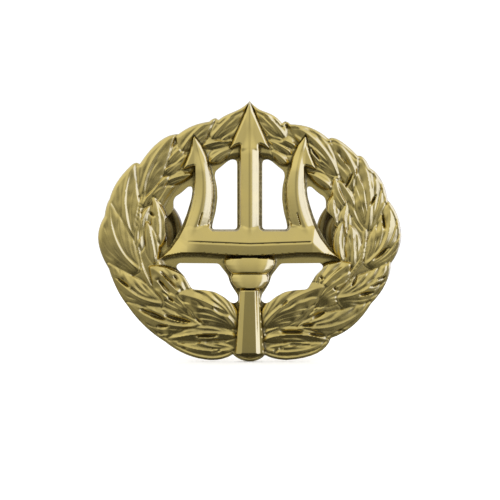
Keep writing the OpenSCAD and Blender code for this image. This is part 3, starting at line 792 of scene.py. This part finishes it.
def struck_solid(name, grid, inside, relief, foot, seats=()):
    """A closed solid over the points where inside > 0, with the relief in front and a flat back at foot.

    Its sides follow the line where inside is 0. Each seat (x, z, radius, depth) is a round recess in the
    back. Each face's material is 0 in front and on the sides, and 1 on the back.
    """
    least = LEAST_INSIDE * grid.step
    inside = np.where(np.abs(inside) < least, least, inside)
    keep = inside > 0.0
    index = np.full(inside.shape, -1)
    index[keep] = np.arange(keep.sum())
    points = list(zip(grid.x[keep].tolist(), grid.z[keep].tolist(), relief[keep].tolist()))
    corners = [keep[:-1, :-1], keep[1:, :-1], keep[1:, 1:], keep[:-1, 1:]]
    full = np.logical_and.reduce(corners)
    mixed = np.logical_or.reduce(corners) & ~full
    ids = [index[:-1, :-1], index[1:, :-1], index[1:, 1:], index[:-1, 1:]]
    faces = np.stack([i[full] for i in ids], axis=1).tolist()

    crossings = {}

    def crossing(p, q):
        """The point on the way from grid point p, inside, to q, outside, where the outline passes."""
        if (p, q) not in crossings:
            t = inside[p] / (inside[p] - inside[q])
            ends = [(grid.x[k], grid.z[k], relief[k]) for k in (p, q)]
            crossings[(p, q)] = len(points)
            points.append(tuple(float(a + t * (b - a)) for a, b in zip(*ends)))
        return crossings[(p, q)]

    for i, j in np.argwhere(mixed).tolist():
        cell = [(i, j), (i + 1, j), (i + 1, j + 1), (i, j + 1)]
        ring = []
        for p, q in zip(cell, cell[1:] + cell[:1]):
            if keep[p]:
                ring.append(int(index[p]))
            if keep[p] != keep[q]:
                ring.append(crossing(p, q) if keep[p] else crossing(q, p))
        faces.append(ring)

    sides = set()
    for face in faces:
        sides.update(zip(face, face[1:] + face[:1]))
    border = sorted((p, q) for p, q in sides if (q, p) not in sides)
    below = {}
    for p, _ in border:
        below[p] = len(points)
        points.append((points[p][0], points[p][1], foot))
    faces.extend([q, p, below[p], below[q]] for p, q in border)

    rim = [Vector(points[k][:2]) for k in below.values()]
    rim_ids = list(below.values())
    place = {p: k for k, p in enumerate(below)}
    links = [(place[p], place[q]) for p, q in border]
    turn = [2.0 * math.pi * k / TURN_STEPS for k in range(TURN_STEPS)]
    for x, z, radius, depth in seats:
        ring = [(x + radius * math.cos(a), z + radius * math.sin(a)) for a in turn]
        first = len(rim)
        mouth = [len(points) + k for k in range(TURN_STEPS)]
        points.extend((px, pz, foot) for px, pz in ring)
        floor = [len(points) + k for k in range(TURN_STEPS)]
        points.extend((px, pz, foot + depth) for px, pz in ring)
        rim.extend(Vector(p) for p in ring)
        rim_ids.extend(mouth)
        links.extend((first + (k + 1) % TURN_STEPS, first + k) for k in range(TURN_STEPS))
        faces.extend([mouth[k], mouth[k - 1], floor[k - 1], floor[k]] for k in range(TURN_STEPS))
        faces.append(floor[::-1])
    front_count = len(faces)
    _, _, triangles, origins, _, _ = delaunay_2d_cdt(rim, links, [], 0, SAME_PLACE)
    triangles = [[origins[k][0] for k in face] for face in triangles]
    for face in left_of(links, triangles):
        faces.append([rim_ids[k] for k in face[::-1]])

    mesh = bpy.data.meshes.new(name)
    mesh.from_pydata(facing_front(points), [], faces)
    mesh.polygons.foreach_set("material_index", [int(k >= front_count) for k in range(len(faces))])
    mesh.validate()
    return new_object(name, mesh)


def closed_mesh(name, points, faces):
    """A piece from points (across, behind the back plane, up) in mm, with its faces turned outwards."""
    mesh = bpy.data.meshes.new(name)
    mesh.from_pydata([(x * MM, y * MM, z * MM) for x, y, z in points], [], faces)
    shell = bmesh.new()
    shell.from_mesh(mesh)
    bmesh.ops.recalc_face_normals(shell, faces=shell.faces)
    shell.to_mesh(mesh)
    shell.free()
    return new_object(name, mesh)


def normals(path):
    """The direction square to a path at each of its points."""
    run = np.gradient(path, axis=0)
    return np.stack([-run[:, 1], run[:, 0]], axis=1) / np.linalg.norm(run, axis=1)[:, None]


def sheet_section(middle, thickness):
    """The closed outline of a sheet whose middle follows the points."""
    p = np.array(middle, dtype=float)
    half = 0.5 * thickness * normals(p)
    return np.concatenate([p + half, (p - half)[::-1]]).tolist()


def turned(name, section, x, base=0.0):
    """A closed section turned about a post's axis, which stands at x."""
    points, rings = [], []
    for radius, height in section:
        steps = 1 if radius < 1e-6 else TURN_STEPS
        rings.append([len(points) + k for k in range(steps)])
        for k in range(steps):
            turn = 2.0 * math.pi * k / steps
            points.append((x + radius * math.cos(turn), base + height, radius * math.sin(turn)))
    faces = []
    for ring, after in zip(rings, rings[1:] + rings[:1]):
        if len(ring) == 1 and len(after) == 1:
            continue
        for k in range(TURN_STEPS):
            corners = [ring[k % len(ring)], ring[(k + 1) % len(ring)],
                       after[(k + 1) % len(after)], after[k % len(after)]]
            faces.append(list(dict.fromkeys(corners)))
    return closed_mesh(name, points, faces)


def box_mesh(name, low, high):
    points = [(x, y, z) for x in (low[0], high[0]) for y in (low[1], high[1]) for z in (low[2], high[2])]
    faces = [(0, 1, 3, 2), (4, 6, 7, 5), (0, 4, 5, 1), (2, 3, 7, 6), (0, 2, 6, 4), (1, 5, 7, 3)]
    return closed_mesh(name, points, faces)


def cut_away(piece, cutter):
    """Cuts one piece with another, and deletes the cutter."""
    modifier = piece.modifiers.new("cut", "BOOLEAN")
    modifier.operation = "DIFFERENCE"
    modifier.solver = "EXACT"
    modifier.object = cutter
    bpy.context.view_layer.update()
    result = bpy.data.meshes.new_from_object(piece.evaluated_get(bpy.context.evaluated_depsgraph_get()))
    piece.modifiers.clear()
    piece.data = result
    bpy.data.objects.remove(cutter)


def soften_edges(piece, width, angle):
    """Rounds the piece's sharp edges by width, in mm."""
    modifier = piece.modifiers.new("edges", "BEVEL")
    modifier.width = width * MM
    modifier.segments = 2
    modifier.limit_method = "ANGLE"
    modifier.angle_limit = math.radians(angle)
    modifier.harden_normals = False


def wing_path():
    """The middle of a wing's sheet, from its jaw to its rolled tip, as (out, up) from its pivot."""
    tip = np.array(WING_TIP)
    lead = bent(WING_JAW, *WING_LEAD, LEAD_POINTS)
    bend = bent(WING_LEAD[1], *WING_BEND, 8)[1:]
    angles = np.radians(np.linspace(*WING_ROLL, 18))
    roll = tip + WING_ROLL_R * np.stack([np.cos(angles), np.sin(angles)], axis=1)
    tab = bent(bend[-1], 0.5 * (bend[-1] + roll[0]) + WING_BOW, roll[0], 14)[1:]
    return np.concatenate([lead, bend, tab, roll[1:]])


def wing_sheet(name, x, way, pivot):
    """A wing of the spring: a bent sheet notched round the pin. way is 1 above the pin and -1 below it."""
    path = wing_path() + pivot
    run = np.diff(path, axis=0)
    reached = np.concatenate([[0.0], np.cumsum(np.linalg.norm(run, axis=1))])
    to_bend = reached[LEAD_POINTS]
    flare_starts, flare_run = WING_FLARE_RUN
    flare = 1.0 + WING_FLARE / WING_W * eased(reached, to_bend + flare_starts, flare_run)
    slope = run[0] / np.linalg.norm(run[0])
    normal = normals(path)
    middle = np.linspace(-EDGE_STARTS, EDGE_STARTS, 35).tolist()
    columns = [-share for share in EDGE_COLUMNS[::-1]] + middle + EDGE_COLUMNS
    sides = []
    for face in (0.5, -0.5):
        rows = []
        for k, at in enumerate(reached):
            for share in columns:
                off = share * 0.5 * WING_W * flare[k]
                notch = max(math.sqrt(max(JAW_NOTCH_R ** 2 - off * off, 0.0)) - path[0][0], 0.0) / slope[0]
                moved = notch * max(1.0 - at / to_bend, 0.0)
                edge = max(abs(share) - EDGE_STARTS, 0.0) / (1.0 - EDGE_STARTS)
                thick = SHEET_T * math.sqrt(1.0 - EDGE_THINNING * edge * edge)
                out, up = path[k] + moved * slope + face * thick * normal[k]
                rows.append((x + off, up, way * out))
        sides.append(rows)
    points = sides[0] + sides[1]
    wide, tall = len(columns), len(path)
    under = wide * tall
    faces = []
    for i in range(tall - 1):
        for j in range(wide - 1):
            corner = i * wide + j
            quad = [corner, corner + 1, corner + wide + 1, corner + wide]
            faces.append(quad)
            faces.append([under + q for q in quad[::-1]])
    border = list(range(wide)) + [i * wide + wide - 1 for i in range(1, tall)]
    border += [(tall - 1) * wide + j for j in range(wide - 2, -1, -1)]
    border += [i * wide for i in range(tall - 2, 0, -1)]
    for p, q in zip(border, border[1:] + border[:1]):
        faces.append([q, p, under + p, under + q])
    return closed_mesh(name, points, faces)


def places(mesh):
    """The places of the mesh's points, in metres."""
    co = np.zeros(3 * len(mesh.vertices), dtype=np.float32)
    mesh.vertices.foreach_get("co", co)
    return co.reshape(-1, 3)


def add_hollowness(piece, grid, total, painted_shade=0.0):
    """Stores on the piece's points how deep they lie among their surroundings, for the hollows darkened
    with patina and painted shade.

    painted_shade is added to it, as more painted shade that also dulls the metal.
    """
    depths = [strength * (blurred(total, reach / grid.step) - total)
              for reach, strength in (NEAR_DEPTH, WIDE_DEPTH)]
    depth = np.clip(sum(depths), 0.0, 1.0) + painted_shade
    co = places(piece.data) / MM
    i = np.clip((co[:, 0] - grid.xs[0]) / grid.step, 0, len(grid.xs) - 2)
    j = np.clip((co[:, 2] - grid.zs[0]) / grid.step, 0, len(grid.zs) - 2)
    i0, j0 = i.astype(int), j.astype(int)
    u, v = i - i0, j - j0
    value = depth[i0, j0] * (1 - u) * (1 - v) + depth[i0 + 1, j0] * u * (1 - v)
    value += depth[i0, j0 + 1] * (1 - u) * v + depth[i0 + 1, j0 + 1] * u * v
    layer = piece.data.attributes.new("hollow", "FLOAT", "POINT")
    layer.data.foreach_set("value", value.astype(np.float32))


def shade(piece, angle):
    """Smooth shading, kept sharp where faces meet at more than angle degrees."""
    piece.data.shade_smooth()
    piece.data.set_sharp_from_angle(angle=math.radians(angle))


def smooth_walls(piece):
    """Shades the struck sides as one smooth band, without sharp edges across it."""
    mesh = piece.data
    ends = np.zeros(2 * len(mesh.edges), dtype=np.int32)
    mesh.edges.foreach_get("vertices", ends)
    co = places(mesh)
    run = np.abs(co[ends[0::2]] - co[ends[1::2]])
    across_wall = (run[:, 0] < SAME_PLACE) & (run[:, 2] < SAME_PLACE)
    sharp = np.zeros(len(mesh.edges), dtype=bool)
    mesh.attributes["sharp_edge"].data.foreach_get("value", sharp)
    mesh.attributes["sharp_edge"].data.foreach_set("value", sharp & ~across_wall)
    modifier = piece.modifiers.new("normals", "WEIGHTED_NORMAL")
    modifier.keep_sharp = True


# ---------------------------------------------------------------- materials

# Noise scales, in cycles per metre.
CLOUDS = 260.0
GRAIN = 5200.0
SPECKS = 2400.0


class Nodes:
    """Short ways to build the nodes of a material or a world."""

    def __init__(self, owner, shader="Principled BSDF"):
        owner.use_nodes = True
        self.tree = owner.node_tree
        self.shader = self.tree.nodes[shader]

    def put(self, socket, value):
        if isinstance(value, bpy.types.NodeSocket):
            self.tree.links.new(value, socket)
        else:
            socket.default_value = value

    def add(self, kind, inputs=None, **settings):
        node = self.tree.nodes.new(kind)
        for key, value in settings.items():
            setattr(node, key, value)
        for key, value in (inputs or {}).items():
            self.put(node.inputs[key], value)
        return node.outputs

    def noise(self, scale, detail=3.0, roughness=0.55):
        coords = self.add("ShaderNodeTexCoord")["Object"]
        inputs = {"Vector": coords, "Scale": scale, "Detail": detail, "Roughness": roughness}
        return self.add("ShaderNodeTexNoise", inputs)["Fac"]

    def between(self, value, low, high, to_low=0.0, to_high=1.0, kind="LINEAR"):
        inputs = {0: value, 1: low, 2: high, 3: to_low, 4: to_high}
        return self.add("ShaderNodeMapRange", inputs, interpolation_type=kind)[0]

    def blend(self, factor, a, b):
        return self.add("ShaderNodeMix", {0: factor, 6: a, 7: b}, data_type="RGBA")[2]

    def maths(self, operation, a, b):
        return self.add("ShaderNodeMath", {0: a, 1: b}, operation=operation)[0]

    def bump(self, height, distance, strength):
        inputs = {"Height": height, "Distance": distance, "Strength": strength}
        return self.add("ShaderNodeBump", inputs)[0]

    def into_shader(self, inputs):
        for key, value in inputs.items():
            self.put(self.shader.inputs[key], value)


def rgb(red, green, blue, tone=1.0):
    return red * tone, green * tone, blue * tone, 1.0


def gilded_brass(name, rough, grain, tone):
    """Polished struck metal: bright on the raised parts, brown and duller in the hollows with patina and
    painted shade.
    """
    material = bpy.data.materials.new(name)
    n = Nodes(material)
    hollow = n.add("ShaderNodeAttribute", attribute_name="hollow")["Fac"]
    cloud = n.noise(CLOUDS, 4.0)
    fine = n.noise(GRAIN, 3.0, 0.65)
    speck = n.between(n.noise(SPECKS, 4.0, 0.7), 0.4, 0.6, 0.85, 1.35)
    patina_and_painted_shade = n.maths("ADD", n.maths("MULTIPLY", hollow, speck), n.between(cloud, 0.3, 0.7, -0.06, 0.06))
    bright, plain = rgb(0.7, 0.56, 0.19, tone), rgb(0.65, 0.526, 0.195, tone)
    metal = n.blend(n.between(cloud, 0.35, 0.65), bright, plain)
    # Patina and painted shade: the deeper a hollow, the closer its colour comes to dark brown.
    colour = n.blend(n.between(patina_and_painted_shade, 0.1, 0.6), metal, rgb(0.165, 0.132, 0.046))
    marks = n.between(fine, 0.3, 0.7, -0.03, 0.05)
    roughness = n.maths("ADD", n.between(patina_and_painted_shade, 0.1, 0.6, rough, 0.5), marks)
    normal = n.bump(fine, 0.00002, grain)
    n.into_shader({"Base Color": colour, "Metallic": 1.0, "Roughness": roughness, "Normal": normal})
    return material


def worn_metal(name, bright, dull, rough, scale, patch=(0.38, 0.66, 0.6), finer=14.0, depth=0.00003):
    """Bare metal with tarnish in patches of a given scale, and finer marks of a given depth.

    patch is the noise at which the metal turns dull, that at which it is quite dull, and its raggedness.
    """
    material = bpy.data.materials.new(name)
    n = Nodes(material)
    starts, full, ragged = patch
    fine = n.noise(scale * finer, 3.0, 0.7)
    colour = n.blend(n.between(n.noise(scale, 5.0, ragged), starts, full), bright, dull)
    roughness = n.between(fine, 0.3, 0.7, rough - 0.06, rough + 0.1)
    normal = n.bump(fine, depth, 0.35)
    n.into_shader({"Base Color": colour, "Metallic": 1.0, "Roughness": roughness, "Normal": normal})
    return material


def floor_paper():
    material = bpy.data.materials.new("floor_paper")
    n = Nodes(material)
    n.into_shader({"Base Color": rgb(0.93, 0.93, 0.925), "Roughness": 0.95, "Specular IOR Level": 0.0})
    n.into_shader({"Emission Color": rgb(1.0, 1.0, 1.0), "Emission Strength": 0.3})
    n.into_shader({"Normal": n.bump(n.noise(900.0, 2.0), 0.0001, 0.1)})
    return material


# ---------------------------------------------------------------- the stage

FLOOR_HALF = 0.6
CAMERA_Y = -0.194
CAMERA_SHIFT = (0.04, -2.6)
SIDE_GLOW = 0.24
DAYLIGHT = (1.35, 1.52, 3.1, 1.0)
WHITE_ROOM = (1.12, 1.12, 1.12, 1.0)


def add_camera():
    """A camera straight in front, a little below the badge's middle."""
    low, high = cad_box
    middle_z = (low[2] + high[2]) / 2
    data = bpy.data.cameras.new("camera")
    data.lens = 100.0
    data.sensor_width = 36.0
    data.clip_start = 0.005
    camera = new_object("camera", data)
    camera.location = (CAMERA_SHIFT[0] * MM, CAMERA_Y, middle_z + CAMERA_SHIFT[1] * MM)
    camera.rotation_euler = (math.radians(90.0), 0.0, 0.0)
    bpy.context.scene.camera = camera


def add_floor():
    level = cad_box[0][2]
    corners = [(x * FLOOR_HALF, y * FLOOR_HALF, level) for x, y in ((-1, -1), (1, -1), (1, 1), (-1, 1))]
    mesh = bpy.data.meshes.new("floor")
    mesh.from_pydata(corners, [], [(0, 1, 2, 3)])
    floor = new_object("floor", mesh)
    floor.data.materials.append(floor_paper())
    floor.visible_glossy = False


def studio_light():
    """A white room seen directly. The metal mirrors a grey one with a daylight window on its right."""
    world = bpy.data.worlds.new("studio")
    bpy.context.scene.world = world
    world.cycles.sampling_method = "NONE"
    n = Nodes(world, "Background")

    def ramp(value, low, high, to_low=0.0, to_high=1.0):
        return n.between(value, low, high, to_low, to_high, "SMOOTHSTEP")

    direction = n.add("ShaderNodeTexCoord")["Generated"]
    x, _, z = n.add("ShaderNodeSeparateXYZ", {0: direction})
    room = ramp(z, -0.46, 0.52, 0.08, 0.8)
    room = n.maths("ADD", room, ramp(x, -0.12, -0.5, 0.0, SIDE_GLOW))
    room = n.maths("ADD", room, ramp(x, 0.1, 0.4, 0.0, SIDE_GLOW))
    height = n.maths("MULTIPLY", ramp(z, 0.93, 0.8), ramp(z, -0.36, -0.12))
    window = n.maths("MULTIPLY", ramp(x, 0.52, 0.64), height)
    lit = n.blend(window, n.blend(room, rgb(0.0, 0.0, 0.0), rgb(1.0, 1.0, 1.0)), DAYLIGHT)
    path = n.add("ShaderNodeLightPath")
    direct = n.maths("MAXIMUM", path["Is Camera Ray"], path["Is Diffuse Ray"])
    n.into_shader({"Color": n.blend(direct, lit, WHITE_ROOM), "Strength": 1.0})
    bpy.context.scene.view_settings.view_transform = "Standard"


# ---------------------------------------------------------------- making the badge

def finish_piece(piece, node, materials, angle, body="badge"):
    for material in materials:
        piece.data.materials.append(material)
    shade(piece, angle)
    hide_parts(node)
    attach(piece, body)


def whole_front(grid, inside, relief, over, raised):
    """The badge's whole front, for finding its hollows to paint shade into, with no jump at an outline.

    over is how far inside the trident each point is, and raised is the trident's height there.
    The wreath's relief runs on across the windows, and the trident stands over it by FOOT_DEPTH at most,
    which sets the painted shadow at its foot.
    """
    reach = OUTLINE_REACH / grid.step
    here = np.where(inside > 0.0, 1.0, 0.0)
    spread = (blurred(relief * here, reach) + 0.01 * PLATE_H) / (blurred(here, reach) + 0.01)
    total = np.where(inside > 0.0, relief, spread)
    beside = np.minimum(raised, blurred(total, FOOT_REACH / grid.step) + FOOT_DEPTH)
    share = covered(over)
    return total * (1.0 - share) + beside * share


def make_wreath(metal, back):
    low, high = node_box("wreath")
    grid = Grid((low[0], low[2]), (high[0], high[2]), WREATH_STEP)
    raised, over = trident_relief(grid.x, grid.z)
    relief, square, inside = wreath_relief(grid, over)
    seats = [(side * POST_X, 0.0, PAD_R + SEAT_GAP, PAD_DEPTH) for side in (-1, 1)]
    piece = struck_solid("struck_wreath", grid, inside, relief, 0.0, seats)
    # Painted shade over the lower, outer wreath, on top of the patina and painted shade in its hollows.
    painted_shade = LOWER_PAINTED_SHADE * lower_half(grid) * eased(to_rim(grid), 0.6, 0.3)
    add_hollowness(piece, grid, whole_front(grid, inside, square, over, raised), painted_shade)
    finish_piece(piece, "wreath", [metal, back], 40.0)
    smooth_walls(piece)


def make_trident(metal, back):
    low, high = node_box("trident")
    grid = Grid((low[0], low[2]), (high[0], high[2]), TRIDENT_STEP)
    relief, inside = trident_relief(grid.x, grid.z)
    piece = struck_solid("struck_trident", grid, inside, relief, PLATE_H)
    # Patina and painted shade in the trident's hollows, which count as no deeper than TRIDENT_DEPTH below
    # the crossbar.
    add_hollowness(piece, grid, np.maximum(relief, CROSSBAR_H - TRIDENT_DEPTH))
    finish_piece(piece, "trident", [metal, back], 50.0)
    smooth_walls(piece)


def make_hardware():
    """The posts and clutches. What the hub hides stays as the frame has it."""
    post = worn_metal("post_brass", rgb(0.60, 0.50, 0.25), rgb(0.40, 0.31, 0.14), 0.3, 700.0)
    # The clutches' brass is painted dark: painted shade for where the plate shades them, with tarnish in
    # patches.
    clutch = worn_metal("clutch_brass", rgb(0.32, 0.262, 0.11), rgb(0.13, 0.107, 0.043), 0.34, 420.0)
    spring = worn_metal("spring_bronze", rgb(0.62, 0.47, 0.24), rgb(0.44, 0.31, 0.15), 0.28, 600.0)
    solder = worn_metal("solder", rgb(0.52, 0.50, 0.46), rgb(0.33, 0.31, 0.28), 0.38, 900.0)
    pivots = {joint["child"]: joint["pos_m"] for joint in frame["joints"] if "pos_m" in joint}
    for side, x in (("left", -POST_X), ("right", POST_X)):
        for part, material in (("post_pad", post), ("spring_bridge", spring)):
            for slot in frame["nodes"][f"{side}_{part}"].material_slots:
                slot.material = material

        piece = turned(f"{side}_pin", PIN_SECTION, x)
        soften_edges(piece, 0.04, 35.0)
        finish_piece(piece, f"{side}_post_pin", [post], 45.0)
        piece = turned(f"{side}_solder", SOLDER_SECTION, x)
        finish_piece(piece, f"{side}_solder_ring", [solder], 60.0)

        base = node_box(f"{side}_clutch_disc")[0][1]
        section = sheet_section(through(DISC_MIDDLE, 4), SHEET_T)
        piece = turned(f"{side}_disc", section, x, base)
        soften_edges(piece, 0.05, 50.0)
        finish_piece(piece, f"{side}_clutch_disc", [clutch], 50.0, f"{side}_clutch")

        base = node_box(f"{side}_clutch_hub")[0][1]
        piece = turned(f"{side}_hub", sheet_section(HUB_MIDDLE, SHEET_T), x, base)
        for inner, low, high in HUB_SLOTS:
            for way in (-1, 1):
                near, far = sorted((way * inner, way * HUB_SLOT_FAR))
                corners = (x - HUB_SLOT_HALF_W, base + low, near), (x + HUB_SLOT_HALF_W, base + high, far)
                cut_away(piece, box_mesh("slot", *corners))
        soften_edges(piece, 0.05, 40.0)
        finish_piece(piece, f"{side}_clutch_hub", [clutch], 40.0, f"{side}_clutch")

        for way, word in ((1, "upper"), (-1, "lower")):
            _, pivot_up, pivot_out = pivots[f"{side}_{word}_wing"]
            piece = wing_sheet(f"{side}_{word}_spring", x, way, (abs(pivot_out) / MM, pivot_up / MM))
            node = f"{side}_{word}_wing"
            finish_piece(piece, node, [spring], 50.0, node)


add_camera()
add_floor()
studio_light()
back = worn_metal("plate_back", rgb(0.64, 0.505, 0.21), rgb(0.46, 0.35, 0.15), 0.36, 190.0,
                  patch=(0.35, 0.7, 0.55), finer=20.0, depth=0.00006)
make_wreath(gilded_brass("struck_gilt", 0.19, 0.16, 0.93), back)
make_trident(gilded_brass("polished_gilt", 0.13, 0.06, 1.0), back)
make_hardware()
